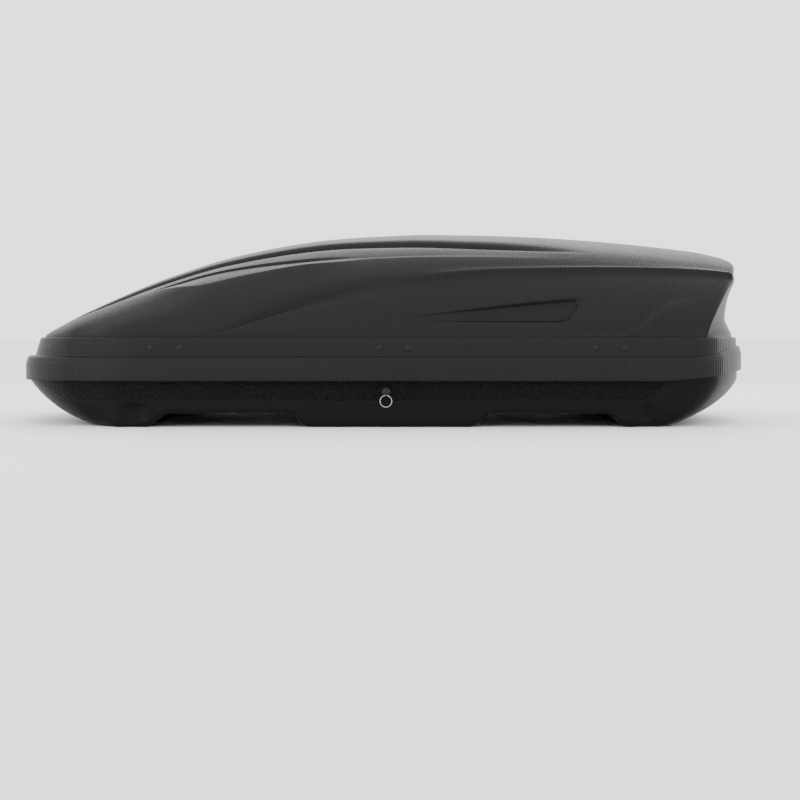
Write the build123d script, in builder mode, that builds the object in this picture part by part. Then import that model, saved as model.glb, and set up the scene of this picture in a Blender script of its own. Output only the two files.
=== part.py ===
"""Roof cargo box: thermoformed tray and side-opening lid, with hinges, lock, lid struts and bar clamps.

Millimetres. +Z up, the nose points along -X, the lock side faces -Y and the hinges are on +Y.
The origin is on the underside of the centre foot, midway along and across the box.
"""
import os
from math import atan2, cos, degrees, pi, radians, sin, sqrt

from build123d import *

os.makedirs("parts", exist_ok=True)

# ---------------------------------------------------------------- driving dimensions
LENGTH = 1750.0          # rim, nose to tail
WIDTH = 820.0            # rim, across
HEIGHT = 454.0           # feet to the top of the lid
TRAY_WALL = 4.5
LID_WALL = 4.0

# levels above the ground
ARCH_HEIGHT = 30.0       # underside of the two bar arches
HULL_HEIGHT = 95.0       # where the tray's sloping ends turn upright
RIM_BOTTOM = 103.0
RIM_TOP = 158.0
REAR_RIM_BOTTOM = 128.0
REAR_RIM_TOP = 189.0
LEDGE = 201.0            # where the lid's band ends and its dome starts
RIVET_LEVEL = 177.5
LOCK_LEVEL = 80.0

# plan shape of the rim
NOSE_BOW = 70.0          # how far the nose bulges ahead of its corners
NOSE_HALF = 350.0        # half width at the nose corners, before rounding
TAPER_RUN = 270.0        # from the nose back to where the sides become straight
REAR_BOW = 130.0
TAPER_RADIUS = 300.0
NOSE_RADIUS = 200.0
REAR_RADIUS = 80.0

# plan shape of the tray's underside
KEEL_NOSE = 100.0        # how far the underside stops short of the rim, at the nose
KEEL_REAR = 235.0        # and at the tail
KEEL_REAR_BOW = 30.0

# how far each level of the side wall stands in from the rim
TRAY_INSET = 10.0
BAND_INSET = 12.0
DOME_INSET = 22.0

NOSE = -LENGTH / 2
TAIL = LENGTH / 2
HALF = WIDTH / 2

# feet and arches along X, each ramp joining two levels
ARCH_LENGTH = 265.0
ARCH_FRONT = (NOSE + 379, NOSE + 379 + ARCH_LENGTH)
ARCH_REAR = (TAIL - 366 - ARCH_LENGTH, TAIL - 366)
FOOT_FRONT_END = ARCH_FRONT[0] - 44
FOOT_CENTRE = (ARCH_FRONT[1] + 60, ARCH_REAR[0] - 47)
FOOT_REAR_START = ARCH_REAR[1] + 58

# the rim steps up towards the tail
STEP_END = TAIL - 195
STEP_START = STEP_END - 60

# three latch stations, with a hinge opposite each
STATIONS = (NOSE + 385, 23.0, TAIL - 368)
STATION_NAMES = ("front", "middle", "rear")
RIVET_PITCH = 65.5
RIVET_SHANK = 3.0
RIVET_HEAD = 6.25
RIVET_RISE = 2.4
FIT = 0.05               # running clearance on a radius

# hinges
PIVOT_Y = WIDTH / 2 - 5.0
PIVOT_Z = RIM_BOTTOM - 7.0
KNUCKLE_RADIUS = 4.5
PIN_RADIUS = 2.5
HINGE_WIDTH = 92.0
KNUCKLE_GAP = 0.4
LEAF = 2.0
LID_OPEN = 50.0          # degrees

# lock and lock bar
LOCK_X = 5.0
BARREL_RADIUS = 8.0
BEZEL_RADIUS = 10.5
BEZEL_RISE = 3.0
BEZEL_SKIRT = 1.3        # wall of the bezel's sleeve through the tray
THROW_RADIUS = 16.0      # drive pin from the barrel's axis
DRIVE_PIN = 3.0
SLOT_PLAY = 0.6
BAR_RATIO = 0.9 * THROW_RADIUS             # bar travel for one radian of key
BAR_TRAVEL = BAR_RATIO * pi / 2
BAR_THICK = 4.0
BAR_TALL = 24.0
BAR_SETBACK = 28.0       # bar's outer face from the tray's inner face
BAR_PLAY = 0.4
PEG_RADIUS = 4.0
PEG_LEVEL = 118.0
GUIDE_PLACES = (STATIONS[0] + 110, -120.0, 160.0, STATIONS[2] - 110)

# key and ring
KEY_THICK = 2.4
BOW_RADIUS = 12.0
BOW_HOLE = 5.0
RING_RADIUS = 13.0
RING_WIRE = 1.0

# bar clamps
CLAMP_X = (sum(ARCH_FRONT) / 2, sum(ARCH_REAR) / 2)
CLAMP_Y = 240.0
LEG_SPREAD = 84.0
LEG_RADIUS = 4.0
CLAMP_TRAVEL = 45.0
KNOB_TALL = 28.0
KNOB_RADIUS = 21.0
PLATE = 3.0

# lid struts, in the plane across the box: tray pivot and lid pivot
STRUT_X = (NOSE + 0.18 * LENGTH, TAIL - 290)
STRUT_TRAY = (PIVOT_Y - 105.0, 45.0)
STRUT_LID = (PIVOT_Y - 80.0, PIVOT_Z + 90.0)
STUD_RADIUS = 4.0
SOCKET_PLAY = 5.0        # the lid socket is this much larger than its stud

TRAY_FACE = -(HALF - TRAY_INSET)                  # outer face of the tray, lock side
TRAY_INNER = TRAY_FACE + TRAY_WALL
BAND_FACE = -(HALF - BAND_INSET)
BAND_INNER = BAND_FACE + LID_WALL
TRAY_TOP = RIM_TOP - LID_WALL - 6.0
WALL_REACH = 30.0        # long enough to cut through one side wall from outside
RIVET_X = [x + side * RIVET_PITCH / 2 for x in STATIONS for side in (-1, 1)]
LEAF_RIVETS = PIVOT_Z - 22.0


def finish(part, label):
    """Name a piece and write it."""
    part.label = label
    export_step(part, f"parts/{label}.step")


def plan(level, inset, nose_back=0.0, rear_back=0.0, rear_bow=REAR_BOW):
    """Plan outline of the box at a level, drawn in from the rim by inset."""
    nose = NOSE + inset + nose_back
    tail = TAIL - inset - rear_back
    half = HALF - inset
    corner = (nose + NOSE_BOW, NOSE_HALF - inset)
    taper = NOSE + nose_back / 2 + TAPER_RUN
    with BuildSketch(Plane.XY.offset(level)) as outline:
        with BuildLine():
            ThreePointArc((tail - rear_bow, -half), (tail, 0), (tail - rear_bow, half))
            Line((tail - rear_bow, half), (taper, half))
            Line((taper, half), corner)
            ThreePointArc(corner, (nose, 0), (corner[0], -corner[1]))
            Line((corner[0], -corner[1]), (taper, -half))
            Line((taper, -half), (tail - rear_bow, -half))
        make_face()
        fillet(outline.vertices().group_by(Axis.X)[-1], REAR_RADIUS - inset)
        fillet(outline.vertices().filter_by(lambda v: abs(v.X - taper) < 1), TAPER_RADIUS)
        fillet(outline.vertices().filter_by(lambda v: abs(v.X - corner[0]) < 1), NOSE_RADIUS - inset)
    return outline.sketch


def side_slab(points, half):
    """A shape drawn in side view, XZ, and carried right across the box."""
    with BuildPart() as slab:
        with BuildSketch(Plane.XZ):
            with BuildLine():
                Polyline(*points, close=True)
            make_face()
        extrude(amount=half, both=True)
    return slab.part


# ---------------------------------------------------------------- tray
def hull(inset, floor, top):
    """Tray body: sloping nose and tail up to HULL_HEIGHT, upright above it."""
    with BuildPart() as body:
        low = plan(floor, inset, KEEL_NOSE - TRAY_INSET, KEEL_REAR - TRAY_INSET, KEEL_REAR_BOW)
        high = plan(HULL_HEIGHT, inset)
        loft(sections=[low.face(), high.face()], ruled=True)
        extrude(high.face(), amount=top - HULL_HEIGHT, dir=(0, 0, 1))
    return body.part


def arch(start, end, ramp_start, ramp_end, grow):
    """Channel under the tray for a roof bar; grow thickens it into the tray's own hump."""
    top = ARCH_HEIGHT + grow
    return side_slab(
        [(ramp_start - grow, -1), (ramp_start - grow, grow), (start - grow, top),
         (end + grow, top), (ramp_end + grow, grow), (ramp_end + grow, -1)],
        HALF,
    )


def arches(grow):
    """Both bar channels."""
    return [
        arch(*ARCH_FRONT, FOOT_FRONT_END, FOOT_CENTRE[0], grow),
        arch(*ARCH_REAR, FOOT_CENTRE[1], FOOT_REAR_START, grow),
    ]


tray_cavity = hull(TRAY_INSET + TRAY_WALL, TRAY_WALL, HEIGHT) - arches(TRAY_WALL)
TROUGH = LEG_RADIUS + 0.4
BOSS_TOP = ARCH_HEIGHT + 2 * TROUGH + TRAY_WALL
CLAMPS = [(x, y) for x in CLAMP_X for y in (-CLAMP_Y, CLAMP_Y)]

with BuildPart() as base_tray:
    add(hull(TRAY_INSET, 0, TRAY_TOP))
    add(tray_cavity, mode=Mode.SUBTRACT)
    add(arches(0), mode=Mode.SUBTRACT)
    # a moulded rib over each clamp, with a trough below for the U-bolt's cross piece
    with BuildSketch(Plane.XY.offset(ARCH_HEIGHT)):
        with Locations(*CLAMPS):
            RectangleRounded(LEG_SPREAD + 44, 34, 8)
    extrude(amount=BOSS_TOP - ARCH_HEIGHT)
    with BuildSketch(Plane.XY.offset(ARCH_HEIGHT)):
        with Locations(*CLAMPS):
            SlotCenterToCenter(LEG_SPREAD, 2 * TROUGH)
    extrude(amount=2 * TROUGH, mode=Mode.SUBTRACT)
    with BuildSketch(Plane.XY.offset(ARCH_HEIGHT)):
        for x, y in CLAMPS:
            with Locations((x - LEG_SPREAD / 2, y), (x + LEG_SPREAD / 2, y)):
                Circle(LEG_RADIUS + 0.4)
    extrude(amount=BOSS_TOP - ARCH_HEIGHT, mode=Mode.SUBTRACT)
    # lock hole, and rivet holes for the hinge leaves
    with BuildSketch(Plane.XZ.offset(HALF)):
        with Locations((LOCK_X, LOCK_LEVEL)):
            Circle(BARREL_RADIUS + BEZEL_SKIRT + 0.3)
    extrude(amount=-WALL_REACH, mode=Mode.SUBTRACT)
    with BuildSketch(Plane.XZ.offset(-HALF)):
        with Locations(*[(x, LEAF_RIVETS) for x in RIVET_X]):
            Circle(RIVET_SHANK + FIT)
    extrude(amount=WALL_REACH, mode=Mode.SUBTRACT)
finish(base_tray.part, "base_tray")


# ---------------------------------------------------------------- lid
# the dome's crown line, as shares of the length and of the dome's height
CROWN_SHARES = ((0.02, -0.01), (0.09, 0.31), (0.176, 0.565), (0.29, 0.796),
                (0.463, 0.972), (0.578, 1.0), (0.751, 0.957), (1.0, 0.755))
CROWN = [(NOSE + along * LENGTH, LEDGE + up * (HEIGHT - LEDGE)) for along, up in CROWN_SHARES]
NOSE_TURN = NOSE + 455   # where the dome starts to narrow towards the nose
NOSE_POWER = 2.4
SHOULDER_OUT = 0.86      # shoulder crease, as shares of the dome's half width and rise
SHOULDER_UP = 0.62


def dome_half(x, wall):
    """Half width of the dome's foot at a station."""
    full = HALF - DOME_INSET - wall
    tip = CROWN[0][0] - 8 + wall
    if x > NOSE_TURN:
        return full
    share = (NOSE_TURN - x) / (NOSE_TURN - tip)
    return full * (1 - share ** NOSE_POWER) ** (1 / NOSE_POWER)


def dome(wall):
    """Lid dome, or with a wall the space inside it, as a run of cross-sections."""
    sections = []
    for x, crown in CROWN:
        start = x + (wall if x == CROWN[0][0] else 0)
        half = dome_half(start, wall)
        rise = crown - wall - RIM_TOP
        shoulder = (half * SHOULDER_OUT, RIM_TOP + rise * SHOULDER_UP)
        with BuildSketch(Plane.YZ.offset(start)) as cut:
            with BuildLine():
                Line((-half, RIM_TOP), (half, RIM_TOP))
                Line((half, RIM_TOP), shoulder)
                ThreePointArc(shoulder, (0, crown - wall), (-shoulder[0], shoulder[1]))
                Line((-shoulder[0], shoulder[1]), (-half, RIM_TOP))
            make_face()
        sections.append(cut.sketch.face())
    with BuildPart() as body:
        loft(sections=sections)
        with BuildSketch(Plane.XY.offset(RIM_TOP)):
            add(plan(0, DOME_INSET + wall))
        extrude(amount=HEIGHT, mode=Mode.INTERSECT)
    return body.part


def rim(wall):
    """Overlapping rim with its step up at the tail, or the space inside it."""
    low = RIM_BOTTOM - (1 if wall else 0)
    rear_low = REAR_RIM_BOTTOM - (1 if wall else 0)
    edge = side_slab(
        [(NOSE - 1, low), (STEP_START, low), (STEP_END, rear_low), (TAIL + 1, rear_low),
         (TAIL + 1, REAR_RIM_TOP - wall), (STEP_END + 10 + wall, REAR_RIM_TOP - wall),
         (STEP_START + 20 + wall, RIM_TOP - wall), (NOSE - 1, RIM_TOP - wall)],
        HALF + 1,
    )
    with BuildPart() as body:
        with BuildSketch():
            add(plan(0, wall))
        extrude(amount=HEIGHT)
        add(edge, mode=Mode.INTERSECT)
    return body.part


def band(wall):
    """Upright band between the rim and the dome, or the space inside it."""
    with BuildPart() as body:
        with BuildSketch(Plane.XY.offset(RIM_TOP - LID_WALL - 1)):
            add(plan(0, BAND_INSET + wall))
        extrude(amount=LEDGE - wall - (RIM_TOP - LID_WALL - 1))
    return body.part


lid_cavity = rim(LID_WALL) + band(LID_WALL) + dome(LID_WALL)

with BuildPart() as lid_shell:
    add(rim(0))
    add(band(0))
    add(dome(0))
    add(lid_cavity, mode=Mode.SUBTRACT)
    with BuildSketch(Plane.XZ):
        with Locations(*[(x, RIVET_LEVEL) for x in RIVET_X]):
            Circle(RIVET_SHANK + FIT)
    extrude(amount=HALF, both=True, mode=Mode.SUBTRACT)
finish(lid_shell.part, "lid_shell")


# ---------------------------------------------------------------- rivets
def rivets(label, spots, outer_face, inner_face, outward):
    """Dome-headed rivets through a wall square to Y: head outside, formed end inside."""
    solids = []
    for x, z in spots:
        with BuildPart() as rivet:
            with BuildSketch(Plane.XY):
                with BuildLine():
                    Line((0, outer_face), (0, outer_face + outward * RIVET_RISE))
                    ThreePointArc(
                        (0, outer_face + outward * RIVET_RISE),
                        (RIVET_HEAD * 0.66, outer_face + outward * RIVET_RISE * 0.66),
                        (RIVET_HEAD, outer_face),
                    )
                    Line((RIVET_HEAD, outer_face), (0, outer_face))
                make_face()
                with BuildLine():
                    Polyline(
                        (0, outer_face), (RIVET_SHANK, outer_face), (RIVET_SHANK, inner_face),
                        (RIVET_SHANK + 2, inner_face), (RIVET_SHANK + 1.2, inner_face - outward * 1.6),
                        (0, inner_face - outward * 1.6), close=True,
                    )
                make_face()
            revolve(axis=Axis.Y)
        solids.append(Pos(x, 0, z) * rivet.part)
    finish(Compound(children=solids), label)


# ---------------------------------------------------------------- hinges
LID_LEAF_FACE = HALF - LID_WALL                   # lid leaf lies on the rim's inner face
TRAY_LEAF_FACE = HALF - TRAY_INSET                # tray leaf lies on the tray's outer face
KNUCKLE = HINGE_WIDTH / 3

for name, station in zip(STATION_NAMES, STATIONS):
    with BuildPart() as tray_leaf:
        with BuildSketch(Plane.YZ.offset(station - HINGE_WIDTH / 2)):
            with Locations((TRAY_LEAF_FACE + LEAF / 2, PIVOT_Z - 18)):
                Rectangle(LEAF, 36)
        extrude(amount=HINGE_WIDTH)
        with BuildSketch(Plane.YZ.offset(station - HINGE_WIDTH / 2)):
            with Locations((PIVOT_Y, PIVOT_Z)):
                Circle(KNUCKLE_RADIUS)
        extrude(amount=HINGE_WIDTH)
        with BuildSketch(Plane.YZ.offset(station - KNUCKLE / 2 - KNUCKLE_GAP)):
            with Locations((PIVOT_Y, PIVOT_Z)):
                Circle(KNUCKLE_RADIUS + 1)
        extrude(amount=KNUCKLE + 2 * KNUCKLE_GAP, mode=Mode.SUBTRACT)
        with BuildSketch(Plane.YZ.offset(station - HINGE_WIDTH / 2)):
            with Locations((PIVOT_Y, PIVOT_Z)):
                Circle(PIN_RADIUS + 0.01)
        extrude(amount=HINGE_WIDTH, mode=Mode.SUBTRACT)
        with BuildSketch(Plane.XZ.offset(-HALF)):
            with Locations(*[(station + side * RIVET_PITCH / 2, LEAF_RIVETS) for side in (-1, 1)]):
                Circle(RIVET_SHANK + FIT)
        extrude(amount=WALL_REACH, mode=Mode.SUBTRACT)
    finish(tray_leaf.part, f"hinge_tray_leaf_{name}")

    with BuildPart() as lid_leaf:
        # a cranked plate: up inside the rim, in over the tray's edge, up behind the band
        with BuildSketch(Plane.YZ.offset(station - HINGE_WIDTH / 2)):
            with BuildLine():
                Polyline(
                    (LID_LEAF_FACE, PIVOT_Z + 6), (LID_LEAF_FACE, RIM_TOP - LID_WALL),
                    (-BAND_INNER, RIM_TOP - LID_WALL), (-BAND_INNER, LEDGE - LID_WALL - 4),
                    (-BAND_INNER - LEAF, LEDGE - LID_WALL - 4),
                    (-BAND_INNER - LEAF, RIM_TOP - LID_WALL - LEAF),
                    (LID_LEAF_FACE - LEAF, RIM_TOP - LID_WALL - LEAF),
                    (LID_LEAF_FACE - LEAF, PIVOT_Z + 6), close=True,
                )
            make_face()
        extrude(amount=HINGE_WIDTH)
        with BuildSketch(Plane.YZ.offset(station - KNUCKLE / 2)):
            with Locations((LID_LEAF_FACE - LEAF / 2, PIVOT_Z + 4)):
                Rectangle(LEAF, 8)
            with Locations((PIVOT_Y, PIVOT_Z)):
                Circle(KNUCKLE_RADIUS)
                Circle(PIN_RADIUS + FIT, mode=Mode.SUBTRACT)
        extrude(amount=KNUCKLE)
        with BuildSketch(Plane.XZ.offset(-HALF)):
            with Locations(*[(station + side * RIVET_PITCH / 2, RIVET_LEVEL) for side in (-1, 1)]):
                Circle(RIVET_SHANK + FIT)
        extrude(amount=WALL_REACH, mode=Mode.SUBTRACT)
    finish(lid_leaf.part, f"hinge_lid_leaf_{name}")

    with BuildPart() as pin:
        with BuildSketch(Plane.YZ.offset(station - HINGE_WIDTH / 2 - 2)):
            with Locations((PIVOT_Y, PIVOT_Z)):
                Circle(KNUCKLE_RADIUS - 0.8)
        extrude(amount=2)
        with BuildSketch(Plane.YZ.offset(station - HINGE_WIDTH / 2)):
            with Locations((PIVOT_Y, PIVOT_Z)):
                Circle(PIN_RADIUS)
        extrude(amount=HINGE_WIDTH + 2)
    finish(pin.part, f"hinge_pin_{name}")

rivets("hinge_lid_rivets", [(x, RIVET_LEVEL) for x in RIVET_X], -BAND_FACE, -BAND_INNER - LEAF, 1)
rivets("hinge_tray_rivets", [(x, LEAF_RIVETS) for x in RIVET_X], -TRAY_FACE + LEAF, -TRAY_INNER, 1)


# ---------------------------------------------------------------- lid catches
CATCH = 2.5              # plate thickness
CATCH_PLATE = (RIVET_PITCH + 22, 26.0)
CATCH_ARM = 28.0
BAR_FACE = TRAY_INNER + BAR_SETBACK               # lock bar's outer face
BAR_LEVEL = LOCK_LEVEL + THROW_RADIUS * (1 + cos(pi / 4)) / 2
BAR_TOP = BAR_LEVEL + BAR_TALL / 2
PEG_END = BAR_FACE + BAR_THICK + 4

for name, station in zip(STATION_NAMES, STATIONS):
    with BuildPart() as catch:
        with BuildSketch(Plane.XZ.offset(-BAND_INNER)):
            with Locations((station, RIVET_LEVEL)):
                RectangleRounded(*CATCH_PLATE, 6)
            with Locations((station, (RIVET_LEVEL + PEG_LEVEL - 10) / 2)):
                Rectangle(CATCH_ARM, RIVET_LEVEL - PEG_LEVEL + 10)
            with Locations(*[(station + side * RIVET_PITCH / 2, RIVET_LEVEL) for side in (-1, 1)]):
                Circle(RIVET_SHANK + FIT, mode=Mode.SUBTRACT)
        extrude(amount=-CATCH)
        with BuildSketch(Plane.XZ.offset(-BAND_INNER - CATCH)):
            with Locations((station, PEG_LEVEL)):
                Circle(PEG_RADIUS)
        extrude(amount=-(PEG_END - BAND_INNER - CATCH))
        chamfer(catch.faces().sort_by(Axis.Y)[-1].edges(), 0.8)
    finish(catch.part, f"lid_catch_{name}")

rivets("lid_catch_rivets", [(x, RIVET_LEVEL) for x in RIVET_X], BAND_FACE, BAND_INNER + CATCH, -1)


# ---------------------------------------------------------------- lock
CAM_FACE = BAR_FACE - 5.0
CAM = 3.0
HOUSING_DEPTH = 20.0
HOUSING_FACE = (44.0, 34.0)
START = -pi / 4          # drive pin's angle from upright with the lock open

with BuildPart() as lock_housing:
    with BuildSketch(Plane.XZ.offset(-TRAY_INNER)):
        with Locations((LOCK_X, LOCK_LEVEL)):
            RectangleRounded(*HOUSING_FACE, 6)
            Circle(BARREL_RADIUS + FIT, mode=Mode.SUBTRACT)
    extrude(amount=-HOUSING_DEPTH)
    with BuildSketch(Plane.XZ.offset(-TRAY_INNER)):
        with Locations((LOCK_X, LOCK_LEVEL)):
            Circle(BARREL_RADIUS + BEZEL_SKIRT + 0.1)
    extrude(amount=-1.0, mode=Mode.SUBTRACT)
finish(lock_housing.part, "lock_housing")

with BuildPart() as lock_bezel:
    with BuildSketch(Plane.XZ.offset(-TRAY_FACE)):
        with Locations((LOCK_X, LOCK_LEVEL)):
            Circle(BEZEL_RADIUS)
            Circle(BARREL_RADIUS + 0.1, mode=Mode.SUBTRACT)
    extrude(amount=BEZEL_RISE)
    chamfer(lock_bezel.edges().filter_by(GeomType.CIRCLE).group_by(Axis.Y)[0], 0.8)
    with BuildSketch(Plane.XZ.offset(-TRAY_FACE)):
        with Locations((LOCK_X, LOCK_LEVEL)):
            Circle(BARREL_RADIUS + BEZEL_SKIRT)
            Circle(BARREL_RADIUS + 0.1, mode=Mode.SUBTRACT)
    extrude(amount=-TRAY_WALL - 0.8)
finish(lock_bezel.part, "lock_bezel")

BARREL_FACE = TRAY_FACE - BEZEL_RISE + 1.0
KEYWAY = (KEY_THICK + 0.6, 9.0)
with BuildPart() as lock_barrel:
    with BuildSketch(Plane.XZ.offset(-BARREL_FACE)):
        with Locations((LOCK_X, LOCK_LEVEL)):
            Circle(BARREL_RADIUS)
    extrude(amount=-(CAM_FACE - BARREL_FACE))
    with BuildSketch(Plane.XZ.offset(-BARREL_FACE)):
        with Locations((LOCK_X, LOCK_LEVEL)):
            Rectangle(*KEYWAY)
    extrude(amount=-22, mode=Mode.SUBTRACT)
finish(lock_barrel.part, "lock_barrel")

PIN_X = LOCK_X + THROW_RADIUS * sin(START)
PIN_Z = LOCK_LEVEL + THROW_RADIUS * cos(START)
with BuildPart() as lock_cam:
    with BuildSketch(Plane.XZ.offset(-CAM_FACE)):
        with Locations((LOCK_X, LOCK_LEVEL)):
            Circle(BARREL_RADIUS + 2)
        with Locations(Location(((LOCK_X + PIN_X) / 2, (LOCK_LEVEL + PIN_Z) / 2), degrees(-START))):
            Rectangle(10, THROW_RADIUS)
        with Locations((PIN_X, PIN_Z)):
            Circle(5)
    extrude(amount=-CAM)
    with BuildSketch(Plane.XZ.offset(-CAM_FACE - CAM)):
        with Locations((PIN_X, PIN_Z)):
            Circle(DRIVE_PIN)
    extrude(amount=-(BAR_THICK + 1.6))
finish(lock_cam.part, "lock_cam")

with BuildPart() as cam_screw:
    with BuildSketch(Plane.XZ.offset(-CAM_FACE - CAM)):
        with Locations((LOCK_X, LOCK_LEVEL)):
            Circle(4)
    extrude(amount=-1.4)
    with BuildSketch(Plane.XZ.offset(-CAM_FACE - CAM - 1.4)):
        with Locations((LOCK_X, LOCK_LEVEL)):
            Rectangle(1.2, 9)
            Rectangle(9, 1.2)
    extrude(amount=0.8, mode=Mode.SUBTRACT)
finish(cam_screw.part, "cam_screw")

BOW_Y = BARREL_FACE - 8 - BOW_RADIUS
HOLE_LEVEL = LOCK_LEVEL - 4.0
with BuildPart() as key:
    with BuildSketch(Plane.YZ.offset(LOCK_X - KEY_THICK / 2)):
        with Locations(((BARREL_FACE + 20 + BOW_Y) / 2, LOCK_LEVEL)):
            Rectangle(BARREL_FACE + 20 - BOW_Y, 7)
        with Locations((BOW_Y, LOCK_LEVEL)):
            Circle(BOW_RADIUS)
        with Locations((BOW_Y, HOLE_LEVEL)):
            Circle(BOW_HOLE, mode=Mode.SUBTRACT)
    extrude(amount=KEY_THICK)
    chamfer(key.edges().filter_by(GeomType.CIRCLE), 0.3)
finish(key.part, "key")

RING_TOP = HOLE_LEVEL - BOW_HOLE + 0.3 + RING_WIRE
with BuildPart() as key_ring:
    with BuildSketch(Plane.YZ.offset(LOCK_X)):
        with Locations((BOW_Y, RING_TOP)):
            Circle(RING_WIRE)
    revolve(axis=Axis((LOCK_X, 0, RING_TOP - RING_RADIUS), (0, 1, 0)))
finish(key_ring.part, "key_ring")


# ---------------------------------------------------------------- lock bar, hooks and guides
BAR_START = STATIONS[0] - 62
BAR_END = STATIONS[-1] + 12
SLOT_WIDTH = 2 * (DRIVE_PIN + SLOT_PLAY)
SLOT_TALL = SLOT_WIDTH + THROW_RADIUS * (1 - cos(START)) + 1.0
SLOT_LEVEL = LOCK_LEVEL + THROW_RADIUS * (1 + cos(START)) / 2

with BuildPart() as lock_bar:
    with BuildSketch(Plane.XZ.offset(-BAR_FACE)):
        with Locations(((BAR_START + BAR_END) / 2, BAR_LEVEL)):
            Rectangle(BAR_END - BAR_START, BAR_TALL)
        with Locations((PIN_X, SLOT_LEVEL)):
            SlotOverall(SLOT_TALL, SLOT_WIDTH, rotation=90, mode=Mode.SUBTRACT)
    extrude(amount=-BAR_THICK)
finish(lock_bar.part, "lock_bar")

HOOK_RISE = PEG_LEVEL + PEG_RADIUS + 0.8
HOOK_THICK = 3.0
HOOK_REACH = 36.0        # from the finger's tip back to the end of its plate
for name, station in zip(STATION_NAMES, STATIONS):
    tip = station - PEG_RADIUS - 4.0
    with BuildPart() as hook:
        # plate on the bar's inner face, riser past the peg, finger over it
        with BuildSketch(Plane.XZ.offset(-BAR_FACE - BAR_THICK)):
            with BuildLine():
                Polyline(
                    (tip - HOOK_REACH, BAR_LEVEL - BAR_TALL / 2), (tip - 22, BAR_LEVEL - BAR_TALL / 2),
                    (tip - 22, HOOK_RISE), (tip - 4, HOOK_RISE), (tip, HOOK_RISE + 2.5),
                    (tip, HOOK_RISE + 9), (tip - HOOK_REACH, HOOK_RISE + 9), close=True,
                )
            make_face()
        extrude(amount=-HOOK_THICK)
    finish(hook.part, f"latch_hook_{name}")

hook_rivets = []
for station in STATIONS:
    with BuildPart() as hook_rivet:
        with BuildSketch(Plane.XZ.offset(-BAR_FACE - BAR_THICK - HOOK_THICK)):
            with Locations((station - PEG_RADIUS - 33.0, BAR_LEVEL)):
                Circle(3.5)
        extrude(amount=-1.5)
        chamfer(hook_rivet.faces().sort_by(Axis.Y)[-1].edges(), 0.7)
    hook_rivets.append(hook_rivet.part)
finish(Compound(children=hook_rivets), "hook_rivets")

GUIDE_WIDTH = 24.0
for count, place in enumerate(GUIDE_PLACES, start=1):
    with BuildPart() as guide:
        depth = BAR_SETBACK + BAR_THICK + 5
        with BuildSketch(Plane.YZ.offset(place - GUIDE_WIDTH / 2)):
            with Locations((TRAY_INNER + depth / 2, BAR_LEVEL)):
                Rectangle(depth, BAR_TALL + 10)
            with Locations((BAR_FACE + BAR_THICK / 2, BAR_LEVEL)):
                Rectangle(BAR_THICK + 2 * BAR_PLAY, BAR_TALL + 2 * BAR_PLAY, mode=Mode.SUBTRACT)
        extrude(amount=GUIDE_WIDTH)
        with BuildSketch(Plane.XZ.offset(-TRAY_INNER)):
            with Locations((place, BAR_LEVEL)):
                Rectangle(14, BAR_TALL - 4)
        extrude(amount=-(BAR_SETBACK - 4), mode=Mode.SUBTRACT)
    finish(guide.part, f"bar_guide_{count}")


# ---------------------------------------------------------------- bar clamps
CROSS_LEVEL = ARCH_HEIGHT + TROUGH
PLATE_TOP = BOSS_TOP + PLATE
LEG_TOP = PLATE_TOP + CLAMP_TRAVEL + KNOB_TALL / 2
CLAMP_NAMES = ("front_left", "front_right", "rear_left", "rear_right")

for name, (x, y) in zip(CLAMP_NAMES, CLAMPS):
    legs = (x - LEG_SPREAD / 2, x + LEG_SPREAD / 2)
    with BuildPart() as u_bolt:
        with BuildLine(Plane.XZ.offset(-y)) as route:
            FilletPolyline(
                (legs[0], LEG_TOP), (legs[0], CROSS_LEVEL), (legs[1], CROSS_LEVEL), (legs[1], LEG_TOP),
                radius=TROUGH,
            )
        with BuildSketch(Plane.XY.offset(LEG_TOP)):
            with Locations((legs[0], y)):
                Circle(LEG_RADIUS)
        sweep(path=route.line)
    finish(u_bolt.part, f"u_bolt_{name}")

    with BuildPart() as plate:
        with BuildSketch(Plane.XY.offset(BOSS_TOP)):
            with Locations((x, y)):
                RectangleRounded(LEG_SPREAD + 34, 28, 6)
            with Locations((legs[0], y), (legs[1], y)):
                Circle(LEG_RADIUS + 0.4, mode=Mode.SUBTRACT)
        extrude(amount=PLATE)
    finish(plate.part, f"clamp_plate_{name}")

    for side, leg in zip("ab", legs):
        with BuildPart() as knob:
            with BuildSketch(Plane.XY.offset(PLATE_TOP + 8)):
                with Locations((leg, y)):
                    Circle(KNOB_RADIUS - 6)
                with Locations((leg, y)):
                    with PolarLocations(KNOB_RADIUS - 6, 5, start_angle=18):
                        Circle(6)
            extrude(amount=KNOB_TALL - 12)
            with BuildSketch(Plane.XY.offset(PLATE_TOP)):
                with Locations((leg, y)):
                    Circle(10)
            extrude(amount=KNOB_TALL)
            with BuildSketch(Plane.XY.offset(PLATE_TOP)):
                with Locations((leg, y)):
                    Circle(LEG_RADIUS + FIT)
            extrude(amount=KNOB_TALL, mode=Mode.SUBTRACT)
        finish(knob.part, f"knob_{name}_{side}")


# ---------------------------------------------------------------- lid struts
TUBE_RADIUS = 9.0
TUBE_BORE = 7.5
ROD_RADIUS = 4.0
EYE_RADIUS = 8.0
EYE_WIDTH = 10.0
CHEEK = TUBE_RADIUS + 1.0  # brackets stand beside the tube
STRUT_RISE = STRUT_LID[1] - STRUT_TRAY[1]
STRUT_RUN = STRUT_LID[0] - STRUT_TRAY[0]
STRUT_LENGTH = sqrt(STRUT_RISE ** 2 + STRUT_RUN ** 2)
STRUT_ANGLE = degrees(atan2(STRUT_RISE, STRUT_RUN))
TUBE_END = STRUT_LENGTH - 24

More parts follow.
